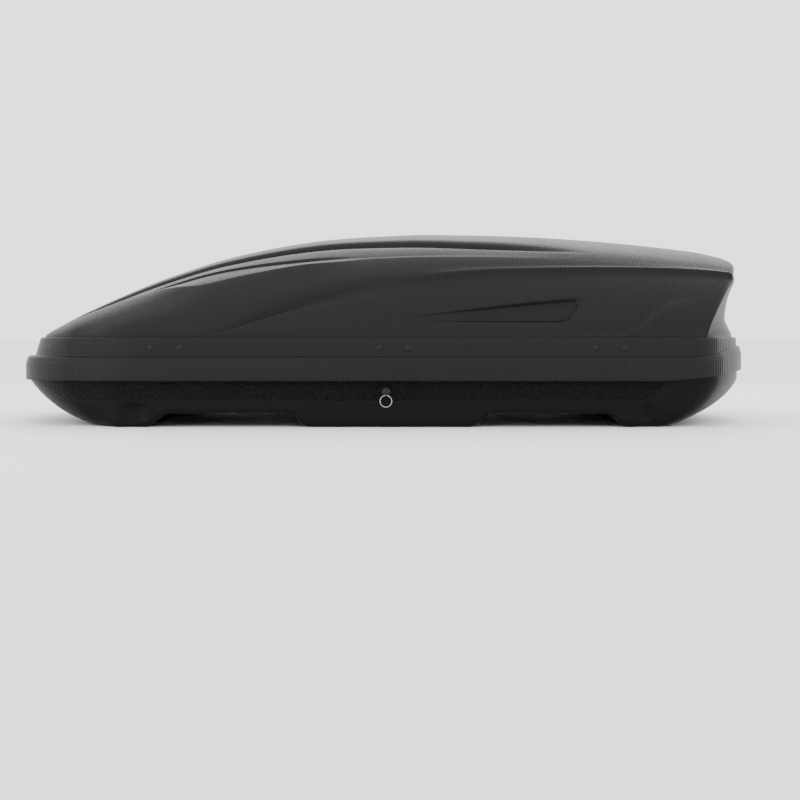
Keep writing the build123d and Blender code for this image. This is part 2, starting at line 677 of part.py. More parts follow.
for name, place in zip(("front", "rear"), STRUT_X):
    # the strut is drawn along its own axis, then laid on the line between its pivots
    lay = Plane(
        origin=(place, *STRUT_TRAY), x_dir=(1, 0, 0),
        z_dir=(0, cos(radians(STRUT_ANGLE)), sin(radians(STRUT_ANGLE))),
    )
    across = Plane(origin=(place - EYE_WIDTH / 2, 0, 0), x_dir=(0, 1, 0), z_dir=(1, 0, 0))
    with BuildPart() as tube:
        with BuildSketch(lay.offset(EYE_RADIUS - 1.5)):
            Circle(TUBE_RADIUS)
        extrude(amount=TUBE_END - EYE_RADIUS + 1.5)
        with BuildSketch(across):
            with Locations(STRUT_TRAY):
                Circle(EYE_RADIUS)
        extrude(amount=EYE_WIDTH)
        with BuildSketch(lay.offset(EYE_RADIUS + 4)):
            Circle(TUBE_BORE)
        extrude(amount=TUBE_END - EYE_RADIUS - 10, mode=Mode.SUBTRACT)
        with BuildSketch(lay.offset(EYE_RADIUS + 4)):
            Circle(ROD_RADIUS + FIT)
        extrude(amount=STRUT_LENGTH, mode=Mode.SUBTRACT)
        with BuildSketch(across):
            with Locations(STRUT_TRAY):
                Circle(STUD_RADIUS + FIT)
        extrude(amount=EYE_WIDTH, mode=Mode.SUBTRACT)
    finish(tube.part, f"strut_tube_{name}")

    with BuildPart() as rod:
        with BuildSketch(lay.offset(EYE_RADIUS + 8)):
            Circle(ROD_RADIUS)
        extrude(amount=STRUT_LENGTH - EYE_RADIUS - 8)
        with BuildSketch(lay.offset(EYE_RADIUS + 8)):
            Circle(TUBE_BORE - FIT)
        extrude(amount=8)
        with BuildSketch(across):
            with Locations(STRUT_LID):
                Circle(EYE_RADIUS - 1)
        extrude(amount=EYE_WIDTH)
        with BuildSketch(across.offset(EYE_WIDTH)):
            with Locations(STRUT_LID):
                Circle(STUD_RADIUS)
        extrude(amount=CHEEK + 7 - EYE_WIDTH / 2)
    finish(rod.part, f"strut_rod_{name}")

    with BuildPart() as tray_bracket:
        # a foot on the tray floor and one upright cheek with the stud
        with BuildSketch(Plane.YZ.offset(place + CHEEK)):
            with Locations((STRUT_TRAY[0], STRUT_TRAY[1] / 2)):
                Rectangle(26, STRUT_TRAY[1])
            with Locations(STRUT_TRAY):
                Circle(13)
        extrude(amount=4)
        with BuildSketch(Plane.XY):
            with Locations((place + CHEEK + 8, STRUT_TRAY[0])):
                Rectangle(28, 40)
        extrude(amount=TRAY_WALL + 4)
        with BuildSketch(Plane.YZ.offset(place - EYE_WIDTH / 2 - 1)):
            with Locations(STRUT_TRAY):
                Circle(STUD_RADIUS)
        extrude(amount=EYE_WIDTH / 2 + 1 + CHEEK)
        add(tray_cavity, mode=Mode.INTERSECT)
    finish(tray_bracket.part, f"strut_tray_bracket_{name}")

    with BuildPart() as lid_bracket:
        # one cheek hanging from the lid, its hole larger than the rod's stud
        with BuildSketch(Plane.YZ.offset(place + CHEEK)):
            with Locations((STRUT_LID[0], STRUT_LID[1] + 60)):
                Rectangle(44, 120)
            with Locations(STRUT_LID):
                Circle(STUD_RADIUS + SOCKET_PLAY + 5)
                Circle(STUD_RADIUS + SOCKET_PLAY, mode=Mode.SUBTRACT)
        extrude(amount=4)
        add(lid_cavity, mode=Mode.INTERSECT)
    finish(lid_bracket.part, f"strut_lid_bracket_{name}")
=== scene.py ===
"""Studio scene of a roof cargo box: moulded lid and tray skins around the CAD frame, in metres."""
from math import cos, exp, hypot, pi, sin, sqrt

import bmesh
import bpy
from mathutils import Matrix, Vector


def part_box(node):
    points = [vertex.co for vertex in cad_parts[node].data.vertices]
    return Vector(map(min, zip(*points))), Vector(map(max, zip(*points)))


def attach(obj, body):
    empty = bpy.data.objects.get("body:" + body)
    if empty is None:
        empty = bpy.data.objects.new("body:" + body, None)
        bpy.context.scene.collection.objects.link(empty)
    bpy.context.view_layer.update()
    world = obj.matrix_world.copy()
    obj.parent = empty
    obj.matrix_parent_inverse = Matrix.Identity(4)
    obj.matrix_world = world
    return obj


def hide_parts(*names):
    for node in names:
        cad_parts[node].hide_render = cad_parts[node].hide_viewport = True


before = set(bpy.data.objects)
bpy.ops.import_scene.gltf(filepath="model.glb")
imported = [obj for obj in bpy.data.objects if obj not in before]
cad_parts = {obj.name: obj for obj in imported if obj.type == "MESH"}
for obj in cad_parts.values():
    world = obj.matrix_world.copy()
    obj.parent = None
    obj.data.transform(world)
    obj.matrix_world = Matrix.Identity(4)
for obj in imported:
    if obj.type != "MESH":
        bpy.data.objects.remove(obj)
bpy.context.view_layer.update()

LID_LOW, LID_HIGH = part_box("lid_shell")
TRAY_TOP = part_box("base_tray")[1][2]
NOSE, TAIL, HALF = LID_LOW[0], LID_HIGH[0], LID_HIGH[1]
CROWN = LID_HIGH[2]
RIM_BOTTOM = LID_LOW[2]

# levels and insets of the mouldings
LEDGE = RIM_BOTTOM + 0.098
LEDGE_INSET = 0.022
TRAY_INSET = 0.010
ARCH = 0.030
LID_WALL = 0.004
TRAY_WALL = 0.0045

# points of one shell closer than this are one point, and so are the two halves' points on the middle line
WELD = 0.00012
SEAM_WELD = 0.00015


# ---------------------------------------------------------------- small helpers
def clamp(value, low=0.0, high=1.0):
    return max(low, min(high, value))


def ease(value, low, high):
    """Smooth 0 to 1 as value goes from low to high."""
    share = clamp((value - low) / (high - low))
    return share * share * (3 - 2 * share)


def along(points, x):
    """Height of a line through a few chosen points, with its bends rounded."""
    if x <= points[0][0]:
        return points[0][1]
    for before, (x0, z0), (x1, z1), after in zip(
            [points[0], *points], points, points[1:], [*points[2:], points[-1]]):
        if x <= x1:
            span = x1 - x0
            slope0 = (z1 - before[1]) / (x1 - before[0])
            slope1 = (after[1] - z0) / (after[0] - x0)
            t = (x - x0) / span
            return ((2 * t ** 3 - 3 * t ** 2 + 1) * z0 + (t ** 3 - 2 * t ** 2 + t) * span * slope0
                    + (3 * t ** 2 - 2 * t ** 3) * z1 + (t ** 3 - t ** 2) * span * slope1)
    return points[-1][1]


def finished(name, bm, body, material):
    """Make a bmesh into a piece that rides on a body."""
    mesh = bpy.data.meshes.new(name)
    bm.to_mesh(mesh)
    bm.free()
    piece = bpy.data.objects.new(name, mesh)
    bpy.context.scene.collection.objects.link(piece)
    mesh.materials.append(material)
    mesh.polygons.foreach_set("use_smooth", [True] * len(mesh.polygons))
    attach(piece, body)
    return piece


# ---------------------------------------------------------------- node materials
def shader(name, colour, roughness, metallic=0.0):
    material = bpy.data.materials.new(name)
    material.use_nodes = True
    nodes = material.node_tree.nodes
    surface = nodes["Principled BSDF"]
    surface.inputs["Base Color"].default_value = (*colour, 1)
    surface.inputs["Roughness"].default_value = roughness
    surface.inputs["Metallic"].default_value = metallic
    return material, nodes, material.node_tree.links, surface


def add_node(nodes, kind, **values):
    node = nodes.new(kind)
    for key, value in values.items():
        if key in node.inputs:
            node.inputs[key].default_value = value
        else:
            setattr(node, key, value)
    return node


def mottle(nodes, links, source, scale, low, high, detail=4.0):
    """Noise mapped to a range, for roughness that isn't quite even."""
    noise = add_node(nodes, "ShaderNodeTexNoise", Scale=scale, Detail=detail)
    links.new(source, noise.inputs["Vector"])
    spread = nodes.new("ShaderNodeMapRange")
    spread.inputs["To Min"].default_value = low
    spread.inputs["To Max"].default_value = high
    links.new(noise.outputs["Fac"], spread.inputs["Value"])
    return spread.outputs["Result"]


def tint(nodes, links, factor, low, high, out):
    """Colour between two shades by a factor."""
    ramp = nodes.new("ShaderNodeValToRGB")
    ramp.color_ramp.elements[0].color = (*low, 1)
    ramp.color_ramp.elements[1].color = (*high, 1)
    links.new(factor, ramp.inputs["Fac"])
    links.new(ramp.outputs["Color"], out)


def bump(nodes, links, height, strength, distance, after=None):
    node = nodes.new("ShaderNodeBump")
    node.inputs["Strength"].default_value = strength
    node.inputs["Distance"].default_value = distance
    links.new(height, node.inputs["Height"])
    if after:
        links.new(after.outputs["Normal"], node.inputs["Normal"])
    return node


def weave_plastic():
    """Charcoal sheet with the fine ribbed weave that is rolled into it, satin over; its colour has painted
    shade in the rib hollows and a painted lighter tone on the rib crests.
    """
    material, nodes, links, surface = shader("lid_sheet", (0.012, 0.012, 0.012), 0.42)
    surface.inputs["Specular IOR Level"].default_value = 0.13
    sheet = add_node(nodes, "ShaderNodeUVMap", uv_map="weave")
    place = nodes.new("ShaderNodeTexCoord")
    ribs = add_node(nodes, "ShaderNodeTexWave", Scale=52.0, Distortion=0.0)
    ribs.bands_direction = "X"
    links.new(sheet.outputs["UV"], ribs.inputs["Vector"])
    cross = add_node(nodes, "ShaderNodeTexWave", Scale=120.0, Distortion=0.0)
    cross.bands_direction = "Y"
    links.new(sheet.outputs["UV"], cross.inputs["Vector"])
    grain = add_node(nodes, "ShaderNodeTexNoise", Scale=420.0, Detail=3.0)
    links.new(place.outputs["Object"], grain.inputs["Vector"])
    ribbed = add_node(nodes, "ShaderNodeAttribute", attribute_name="ribbed")
    rib_height_and_painted_shade = add_node(nodes, "ShaderNodeMath", operation="MULTIPLY")
    links.new(ribs.outputs["Fac"], rib_height_and_painted_shade.inputs[0])
    links.new(ribbed.outputs["Fac"], rib_height_and_painted_shade.inputs[1])
    first = bump(nodes, links, rib_height_and_painted_shade.outputs[0], 0.6, 0.0010)
    second = bump(nodes, links, cross.outputs["Fac"], 0.22, 0.0004, first)
    third = bump(nodes, links, grain.outputs["Fac"], 0.18, 0.0004, second)
    links.new(third.outputs["Normal"], surface.inputs["Normal"])
    # painted shade: rib hollows coloured darker and rib crests lighter, following the rib height; the
    # unribbed rear face takes the darker colour
    tint(nodes, links, rib_height_and_painted_shade.outputs[0], (0.005, 0.005, 0.0051), (0.010, 0.010, 0.0101),
         surface.inputs["Base Color"])
    links.new(mottle(nodes, links, place.outputs["Object"], 9.0, 0.36, 0.47), surface.inputs["Roughness"])
    return material


def pebble_plastic():
    """Near-black tray: pebble grain on the upright band, smooth below it and at the tail."""
    material, nodes, links, surface = shader("tray_sheet", (0.004, 0.004, 0.0042), 0.4)
    surface.inputs["Specular IOR Level"].default_value = 0.07
    place = nodes.new("ShaderNodeTexCoord")
    grained = add_node(nodes, "ShaderNodeAttribute", attribute_name="grained")
    pebbles = add_node(nodes, "ShaderNodeTexVoronoi", Scale=230.0, feature="SMOOTH_F1", Smoothness=0.6)
    links.new(place.outputs["Object"], pebbles.inputs["Vector"])
    clumps = add_node(nodes, "ShaderNodeTexNoise", Scale=150.0, Detail=5.0, Roughness=0.7)
    links.new(place.outputs["Object"], clumps.inputs["Vector"])
    heights = add_node(nodes, "ShaderNodeMath", operation="MULTIPLY_ADD")
    links.new(pebbles.outputs["Distance"], heights.inputs[0])
    heights.inputs[1].default_value = -1.4
    links.new(clumps.outputs["Fac"], heights.inputs[2])
    only_band = add_node(nodes, "ShaderNodeMath", operation="MULTIPLY")
    links.new(heights.outputs[0], only_band.inputs[0])
    links.new(grained.outputs["Fac"], only_band.inputs[1])
    first = bump(nodes, links, only_band.outputs[0], 1.0, 0.0032)
    fine = add_node(nodes, "ShaderNodeTexNoise", Scale=900.0, Detail=2.0)
    links.new(place.outputs["Object"], fine.inputs["Vector"])
    second = bump(nodes, links, fine.outputs["Fac"], 0.1, 0.0002, first)
    links.new(second.outputs["Normal"], surface.inputs["Normal"])
    links.new(mottle(nodes, links, place.outputs["Object"], 12.0, 0.33, 0.45), surface.inputs["Roughness"])
    return material


def moulded(name, colour, roughness, grain=600.0, depth=0.25):
    """Moulded or coated finish with a fine even grain."""
    material, nodes, links, surface = shader(name, colour, roughness)
    surface.inputs["Specular IOR Level"].default_value = 0.2
    place = nodes.new("ShaderNodeTexCoord")
    texture = add_node(nodes, "ShaderNodeTexNoise", Scale=grain, Detail=4.0)
    links.new(place.outputs["Object"], texture.inputs["Vector"])
    links.new(bump(nodes, links, texture.outputs["Fac"], depth, 0.0003).outputs["Normal"],
              surface.inputs["Normal"])
    links.new(mottle(nodes, links, place.outputs["Object"], 40.0, roughness - 0.07, roughness + 0.08),
              surface.inputs["Roughness"])
    shade = [channel * 0.8 for channel in colour]
    tint(nodes, links, texture.outputs["Fac"], shade, colour, surface.inputs["Base Color"])
    return material


def metal(name, colour, roughness, stretch=(1, 1, 1), scale=300.0):
    """Plated or brushed metal: streaks along one axis, and slight smears in its gloss."""
    material, nodes, links, surface = shader(name, colour, roughness, 1.0)
    place = nodes.new("ShaderNodeTexCoord")
    lay = nodes.new("ShaderNodeMapping")
    lay.inputs["Scale"].default_value = stretch
    links.new(place.outputs["Object"], lay.inputs["Vector"])
    streaks = add_node(nodes, "ShaderNodeTexNoise", Scale=scale, Detail=5.0)
    links.new(lay.outputs["Vector"], streaks.inputs["Vector"])
    links.new(bump(nodes, links, streaks.outputs["Fac"], 0.12, 0.0002).outputs["Normal"],
              surface.inputs["Normal"])
    links.new(mottle(nodes, links, lay.outputs["Vector"], scale / 6, roughness - 0.06, roughness + 0.1),
              surface.inputs["Roughness"])
    return material


FINISHES = {
    "leaf": moulded("black_powder_coat", (0.008, 0.008, 0.008), 0.45, 1500.0, 0.5),
    "rivet": moulded("rivet_black", (0.006, 0.006, 0.006), 0.3, 900.0, 0.1),
    "knob": moulded("knob_nylon", (0.022, 0.022, 0.023), 0.5, 1100.0, 0.4),
    "moulding": moulded("black_moulding", (0.012, 0.012, 0.012), 0.48, 800.0, 0.3),
    "tube": moulded("strut_enamel", (0.010, 0.010, 0.011), 0.22, 300.0, 0.05),
    "zinc": metal("zinc_plate", (0.50, 0.50, 0.49), 0.34, (1, 1, 1), 220.0),
    "pin": metal("ground_steel", (0.52, 0.52, 0.53), 0.26, (0.1, 1, 1), 700.0),
    "bar": metal("drawn_aluminium", (0.60, 0.61, 0.62), 0.36, (0.05, 1, 1), 900.0),
    "nickel": metal("dark_nickel", (0.030, 0.030, 0.029), 0.24, (1, 1, 0.1), 900.0),
    "chrome": metal("bright_chrome", (0.36, 0.36, 0.37), 0.16, (1, 1, 1), 400.0),
}
LID_SHEET = weave_plastic()
TRAY_SHEET = pebble_plastic()


def finish_for(node):
    """Which finish a carried-over CAD node gets."""
    if node.startswith("knob"):
        return "knob"
    if node.startswith("hinge_pin"):
        return "pin"
    if node in ("lid_catch_rivets", "hinge_lid_rivets", "hinge_tray_rivets"):
        return "rivet"
    if node.startswith("hinge_"):
        return "leaf"
    if node.startswith("bar_guide") or node == "lock_housing" or "bracket" in node:
        return "moulding"
    if node == "lock_bar":
        return "bar"
    if node in ("lock_bezel", "lock_barrel", "key"):
        return "nickel"
    if node == "key_ring" or node.startswith("strut_rod"):
        return "chrome"
    if node.startswith("strut_tube"):
        return "tube"
    return "zinc"


# ---------------------------------------------------------------- plan outline
NOSE_BOW, NOSE_HALF, TAPER_RUN = 0.070, 0.350, 0.270
REAR_BOW = 0.130
NOSE_ROUND, TAPER_ROUND, REAR_ROUND = 0.093, 0.043, 0.041     # how far each rounding reaches
CREASE_X = 0.725           # where the lid's side panel turns into its rear face


def outline():
    """Half plan outline of the rim, tip of the nose to middle of the tail, y below 0."""
    bm = bmesh.new()
    nose_radius = (NOSE_HALF ** 2 + NOSE_BOW ** 2) / (2 * NOSE_BOW)
    rear_radius = (HALF ** 2 + REAR_BOW ** 2) / (2 * REAR_BOW)
    steps = 24
    spots = []
    for count in range(steps + 1):
        y = NOSE_HALF * count / steps
        x = NOSE + nose_radius - sqrt(nose_radius ** 2 - y * y)
        spots.append((x, -y, NOSE_ROUND * (count == steps)))
    spots.append((NOSE + TAPER_RUN, -HALF, TAPER_ROUND))
    for count in range(steps, -1, -1):
        y = HALF * count / steps
        x = TAIL - rear_radius + sqrt(rear_radius ** 2 - y * y)
        spots.append((x, -y, REAR_ROUND * (count == steps)))
    # arc points that a rounding swallows are left out
    corners = [spot for spot in spots if spot[2]]
    kept = [spot for spot in spots if spot[2] or all(
        hypot(spot[0] - c[0], spot[1] - c[1]) > c[2] + 0.004 for c in corners)]
    verts = [bm.verts.new((x, y, 0)) for x, y, _ in kept]
    for first, second in zip(verts, verts[1:]):
        bm.edges.new((first, second))
    for vert, spot in zip(list(verts), kept):
        if spot[2]:
            bmesh.ops.bevel(bm, geom=[vert], offset=spot[2], segments=14, profile=0.5,
                            affect="VERTICES", material=-1)
    bm.verts.ensure_lookup_table()
    walk = min(bm.verts, key=lambda vert: (abs(vert.co.y), vert.co.x))
    path, last = [walk.co.copy()], None
    while True:
        onward = [edge.other_vert(walk) for edge in walk.link_edges if edge.other_vert(walk) is not last]
        if not onward:
            break
        last, walk = walk, onward[0]
        path.append(walk.co.copy())
    bm.free()
    return path


class Outline:
    """Walks the rim outline by distance, and steps in from it square to its edge."""

    def __init__(self):
        self.path = outline()
        self.reach = [0.0]
        for first, second in zip(self.path, self.path[1:]):
            self.reach.append(self.reach[-1] + (second - first).length)
        self.total = self.reach[-1]

    def at(self, distance):
        """Point and outward normal a distance along from the nose."""
        distance = clamp(distance, 0, self.total)
        low = 0
        while low < len(self.path) - 2 and self.reach[low + 1] < distance:
            low += 1
        first, second = self.path[low], self.path[low + 1]
        share = (distance - self.reach[low]) / (self.reach[low + 1] - self.reach[low])
        spot = first.lerp(second, share)

        def normal(k):
            before, after = self.path[max(k - 1, 0)], self.path[min(k + 1, len(self.path) - 1)]
            run = (after - before).normalized()
            if k == 0:
                return Vector((-1, 0, 0))
            if k == len(self.path) - 1:
                return Vector((1, 0, 0))
            return Vector((run.y, -run.x, 0))
        return spot, normal(low).lerp(normal(low + 1), share).normalized()

    def where(self, x):
        """Distance at which the side reaches x."""
        low, high = 0.0, self.total
        for _ in range(40):
            middle = (low + high) / 2
            if self.at(middle)[0].x < x:
                low = middle
            else:
                high = middle
        return (low + high) / 2

    def inset(self, distance, depth):
        spot, normal = self.at(distance)
        inner = spot - normal * depth
        return Vector((inner.x, min(inner.y, 0.0), 0)), normal


RIM = Outline()


def stations(start, stop, count, extra=()):
    """Even distances along the rim, with a few exact ones moved in where something lines up."""
    step = (stop - start) / count
    spots = [start + step * k for k in range(count + 1)]
    for wanted in extra:
        near = min(range(1, count), key=lambda k: abs(spots[k] - wanted))
        spots[near] = wanted
    return spots


# ---------------------------------------------------------------- lid
CROWN_LINE = ((NOSE + 0.040, LEDGE), (-0.810, 0.213), (-0.718, 0.265), (-0.617, 0.313), (-0.517, 0.353),
              (-0.367, 0.400), (-0.165, 0.438), (0.036, 0.4525), (0.137, CROWN), (0.338, 0.449),
              (0.540, 0.4355), (0.740, 0.4135), (0.800, 0.401), (0.825, 0.392), (0.840, 0.380),
              (0.850, 0.364))
# the moulded lines of the dome, as angles up its cross-section from the ledge
POCKET_FLOOR = ((-0.40, 0.03), (-0.18, 0.10), (0.036, 0.141), (0.34, 0.143), (0.60, 0.15), (0.85, 0.16))
POCKET_TOP = ((-0.40, 0.04), (-0.18, 0.15), (0.016, 0.155), (0.051, 0.185), (0.22, 0.277),
              (0.335, 0.343), (0.44, 0.394), (0.60, 0.42), (0.85, 0.44))
SHOULDER = ((-0.60, 0.05), (-0.383, 0.065), (-0.296, 0.20), (-0.179, 0.353), (-0.062, 0.467),
            (0.036, 0.548), (0.105, 0.597), (0.222, 0.652), (0.338, 0.685), (0.503, 0.741),
            (0.620, 0.777), (0.740, 0.79))
LEAF_LOWER = ((-0.80, 0.62), (-0.60, 0.80), (-0.535, 0.80), (-0.475, 0.731), (-0.417, 0.674),
              (-0.336, 0.709), (-0.196, 0.768), (-0.103, 0.791), (-0.029, 0.817), (0.30, 0.83),
              (0.85, 0.86))
LEAF_UPPER = ((-0.80, 0.66), (-0.60, 0.83), (-0.535, 0.85), (-0.475, 0.885), (-0.417, 0.91),
              (-0.336, 0.905), (-0.196, 0.872), (-0.029, 0.85), (0.30, 0.87), (0.85, 0.89))
GROOVE = ((-0.80, 0.82), (-0.634, 0.93), (-0.50, 1.05), (-0.35, 1.085), (-0.10, 1.10), (0.10, 1.05),
          (0.32, 0.99), (0.60, 0.935), (0.85, 0.92))
LINES = (POCKET_FLOOR, POCKET_TOP, SHOULDER, LEAF_LOWER, LEAF_UPPER, GROOVE)
LINE_SHARES = (0.10, 0.20, 0.34, 0.52, 0.62, 0.77)    # where each line falls along a section
SECTION_ROWS = 34
FLOOR_SHARE, TOP_SHARE, SHOULDER_SHARE, LOWER_SHARE, UPPER_SHARE, GROOVE_SHARE = LINE_SHARES
POCKET_END = 0.443
SIDE_COLUMNS = 250


def section_shares():
    """Row places along a section, closest together beside each moulded line."""
    shares = {k / SECTION_ROWS for k in range(SECTION_ROWS + 1)}
    for line in LINE_SHARES:
        shares = {share for share in shares if abs(share - line) > 0.016}
        shares |= {line + step for step in (-0.014, -0.007, -0.002, 0.002, 0.007, 0.014)}
    return sorted(shares)


SHARES = section_shares()
ROWS = len(SHARES) - 1


def section_angle(x, share):
    """Angle up the cross-section at a share of the way along it."""
    marks = [0.0]
    for line in LINES:
        marks.append(max(along(line, x), marks[-1] + 0.012))
    marks.append(pi / 2)
    shares = (0.0, *LINE_SHARES, 1.0)
    for k in range(len(marks) - 1):
        if share <= shares[k + 1]:
            return marks[k] + (marks[k + 1] - marks[k]) * (share - shares[k]) / (shares[k + 1] - shares[k])
    return pi / 2


def lid_section(x, half, share):
    """Point on the smooth dome at a station: share 0 at the ledge, 1 on the crown."""
    height = max(along(CROWN_LINE, x) - LEDGE, 0.0003)
    angle = section_angle(x, share)
    power = 2 / (2.15 + 0.65 * ease(x, -0.80, -0.25))
    y = half * max(cos(angle), 0.0) ** power
    return -y, LEDGE + height * sin(angle)


def relief(x, z, share):
    """How far the moulded lines push the smooth dome out (+) or in (-), in metres."""
    push = 0.0
    # side panel set in below the shoulder: a wide soft hollow at the nose, a crisp step towards the tail
    sharp = ease(x, -0.12, 0.16)
    push -= 0.0075 * sharp * (1 - ease(share, SHOULDER_SHARE - 0.016, SHOULDER_SHARE))
    push += 0.0030 * sharp * exp(-((share - SHOULDER_SHARE - 0.008) / 0.02) ** 2)
    hollow = exp(-((share - SHOULDER_SHARE) / (0.018 if share > SHOULDER_SHARE else 0.040)) ** 2)
    push -= 0.0100 * (1 - sharp) * ease(x, -0.44, -0.25) * hollow
    # groove beside the raised middle of the roof
    grooved = ease(x, -0.80, -0.60) * (1 - ease(x, 0.20, 0.50))
    push -= 0.0095 * grooved * exp(-((share - GROOVE_SHARE) / 0.016) ** 2)
    beside = (1 - ease(share, GROOVE_SHARE, GROOVE_SHARE + 0.03)) * ease(share, 0.50, GROOVE_SHARE)
    push -= 0.0045 * grooved * beside
    # leaf-shaped facet on the nose shoulder: its upper side falls back to a fine dark line
    leaf = ease(x, -0.56, -0.47) * (1 - ease(x, -0.22, -0.03))
    rise = 0.0075 * leaf
    if share < LOWER_SHARE:
        push += rise * clamp((share - LOWER_SHARE + 0.09) / 0.09) ** 1.6
    elif share < UPPER_SHARE:
        push += rise * (1 - 1.5 * (share - LOWER_SHARE) / (UPPER_SHARE - LOWER_SHARE))
    else:
        push -= 0.5 * rise * (1 - ease(share, UPPER_SHARE + 0.002, UPPER_SHARE + 0.014))
    # pocket in the side panel, deepest at its rounded end
    if 0.0 < x < POCKET_END:
        turn = clamp((x - 0.392) / (POCKET_END - 0.392))
        floor = FLOOR_SHARE + 0.095 * (1 - sqrt(1 - turn ** 2))
        inside = ease(share, floor - 0.004, floor + 0.012)
        inside *= 1 - ease(share, TOP_SHARE - 0.012, TOP_SHARE + 0.004)
        push -= 0.0130 * inside * ease(x, 0.0, 0.36) * ease(POCKET_END - x, 0, 0.006)
    # soft fullness just above the ledge, under the pocket
    push += 0.0025 * ease(x, -0.10, 0.15) * (1 - ease(x, 0.34, 0.50)) * exp(-((share - 0.055) / 0.03) ** 2)
    # diagonal crease towards the tail, and the plane behind it
    line = 0.541 + (z - LEDGE) * 1.33
    step = 0.0105 * ease(x - line, -0.005, 0.004) * (1 - 0.8 * ease(x - line, 0.01, 0.09))
    push += step * (1 - ease(z, 0.255, 0.300))
    # soft crease low on the nose
    crease = 0.208 + (x + 0.70) * 0.345
    soft = ease(x, -0.76, -0.66) * (1 - ease(x, -0.52, -0.40))
    push -= 0.0035 * soft * exp(-((z - crease) / 0.014) ** 2)
    return push


LIP = 0.850
REAR_CORNER = (0.797, -0.325)   # x and y of the end of the spoiler lip
# middle of the rear face, going down from the lip: a notch, a second fine lip, then a hollow
REAR_PROFILE = ((0.0, LIP), (0.055, 0.849), (0.10, 0.8445), (0.13, 0.846), (0.174, 0.852), (0.209, 0.850),
                (0.29, 0.842), (0.426, 0.835), (0.628, 0.8325), (0.76, 0.835), (0.81, 0.842), (1.0, 0.8435))
REAR_SHARES = (0.02, 0.045, 0.07, 0.09, 0.11, 0.13, 0.15, 0.175, 0.20, 0.23, 0.27, 0.32, 0.40, 0.50, 0.60,
               0.68, 0.74, 0.78, 0.82, 0.86, 0.93, 1.0)
REAR_COLUMNS = len(REAR_SHARES)


def nose_share(normal):
    return ease(-normal.x, 0.25, 1.0)


def ledge_spot(distance):
    """Where the dome meets the band; the band leans back at the nose."""
    normal = RIM.at(distance)[1]
    return RIM.inset(distance, LEDGE_INSET + 0.022 * nose_share(normal))[0]


def lid_point(distance, share):
    """Point of the lid's dome ahead of its rear face."""
    spot = ledge_spot(distance)
    half = -spot.y
    y, z = lid_section(spot.x, half, share)
    # sections lean back towards the tail so that they end along the bowed lip
    lean = ease(spot.x, 0.05, CREASE_X)
    if share < SHOULDER_SHARE:
        end = CREASE_X + (REAR_CORNER[0] - CREASE_X) * clamp((z - LEDGE) / (0.335 - LEDGE))
    else:
        end = LIP - (LIP - REAR_CORNER[0]) * clamp(y / REAR_CORNER[1]) ** 2
    x = spot.x + (end - CREASE_X) * lean * lean
    # height follows the crown at the place the section has leaned to
    if x > spot.x + 0.001:
        height = along(CROWN_LINE, x) - LEDGE
        before = along(CROWN_LINE, spot.x) - LEDGE
        z = LEDGE + (z - LEDGE) * (1 + (height / before - 1) * ease(share, 0.1, 0.6))
    push = relief(x, z, share)
    steep = max(0.0, 1 - ((z - LEDGE) / max(along(CROWN_LINE, x) - LEDGE, 0.01)) ** 2)
    out = Vector((0, -sqrt(steep), sqrt(1 - steep)))
    # flattened at the ledge, and at the nose where the section closes
    fade = ease(z, LEDGE, LEDGE + 0.012) * ease(half, 0.02, 0.15)
    spot = Vector((x, y, z)) + out * push * fade
    spot.z = min(spot.z, CROWN)
    return spot


def rear_point(start, end, down, share):
    """Point of the rear face, going down from the lip or the side panel's edge to the ledge."""
    y = start.y + (end.y - start.y) * down
    z = start.z + (end.z - start.z) * down
    level = 1 - (z - LEDGE) / (along(CROWN_LINE, LIP) - LEDGE)
    blend = ease(share, SHOULDER_SHARE, SHOULDER_SHARE + 0.15)
    middle = along(REAR_PROFILE, level + (down - level) * blend)
    rise = clamp((z - LEDGE) / (0.335 - LEDGE))
    edge_x = CREASE_X + (REAR_CORNER[0] - CREASE_X) * rise
    edge_y = -0.385 + 0.060 * rise
    x = middle - (middle - edge_x) * (y / edge_y) ** 2
    x = start.x + (x - start.x) * ease(down, 0, 0.04)
    return Vector((x + (end.x - x) * ease(down, 0.82, 1), y, z))


LID_LEVELS = (
    # step in from the rim, height above the rim's bottom edge
    (0.0150, 0.0980), (0.0128, 0.0965), (0.0120, 0.0930), (0.0120, 0.0780), (0.0120, 0.0620),
    (0.0122, 0.0570), (0.0112, 0.0548), (0.0092, 0.0549), (0.0062, 0.0537), (0.0038, 0.0505),
    (0.0026, 0.0465), (0.0026, 0.0440), (0.0006, 0.0410), (0.0, 0.0370), (0.0, 0.0200), (0.0, 0.0040),
    (0.0006, 0.0),
)


def rim_lift(x, level):
    """Rise of the rim round the tail: its bottom edge first, then its top, and nothing at the ledge."""
    if level > 0.085:
        return 0.0
    low = 0.021 * ease(x, 0.610, 0.865)
    high = 0.024 * ease(x, 0.680, 0.865)
    up = low + (high - low) * clamp(level / 0.055)
    if level > 0.0576:
        up *= 1 - (level - 0.0576) / (0.085 - 0.0576)
    return up


